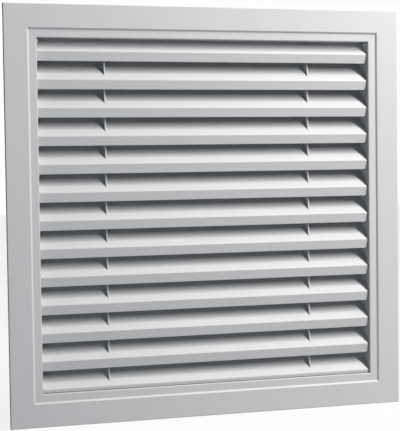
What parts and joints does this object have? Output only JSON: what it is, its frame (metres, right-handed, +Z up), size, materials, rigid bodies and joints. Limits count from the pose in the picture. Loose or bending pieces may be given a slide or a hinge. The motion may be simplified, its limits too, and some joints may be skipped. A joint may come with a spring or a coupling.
{
  "type": "ventilation grille",
  "caption": "Square flanged wall grille with fixed sloping blades in a mitred frame, carried over their length by notched support combs.",
  "frame": {"origin": "middle of the opening, in the plane of the wall that the back of the flange meets", "axes": "+X to the right seen from the front, +Y into the wall, +Z up; the front of the grille faces -Y"},
  "size_m": [0.598, 0.046, 0.598],
  "materials": {
    "frame_coat": "satin powder coat",
    "blade_coat": "satin powder coat",
    "comb_coat": "satin powder coat",
    "key_metal": "mill finish",
    "rivet_metal": "plain"
  },
  "bodies": {
    "root": {"frame_top": "frame_coat", "frame_bottom": "frame_coat", "frame_left": "frame_coat", "frame_right": "frame_coat", "corner_key_top_left": "key_metal", "corner_key_top_right": "key_metal", "corner_key_bottom_left": "key_metal", "corner_key_bottom_right": "key_metal", "blade_01": "blade_coat", "blade_02": "blade_coat", "blade_03": "blade_coat", "blade_04": "blade_coat", "blade_05": "blade_coat", "blade_06": "blade_coat", "blade_07": "blade_coat", "blade_08": "blade_coat", "blade_09": "blade_coat", "blade_10": "blade_coat", "blade_11": "blade_coat", "blade_12": "blade_coat", "blade_13": "blade_coat", "support_comb_left": "comb_coat", "support_comb_right": "comb_coat", "blade_rivets_left": "rivet_metal", "blade_rivets_right": "rivet_metal", "comb_rivets": "rivet_metal"}
  },
  "joints": []
}
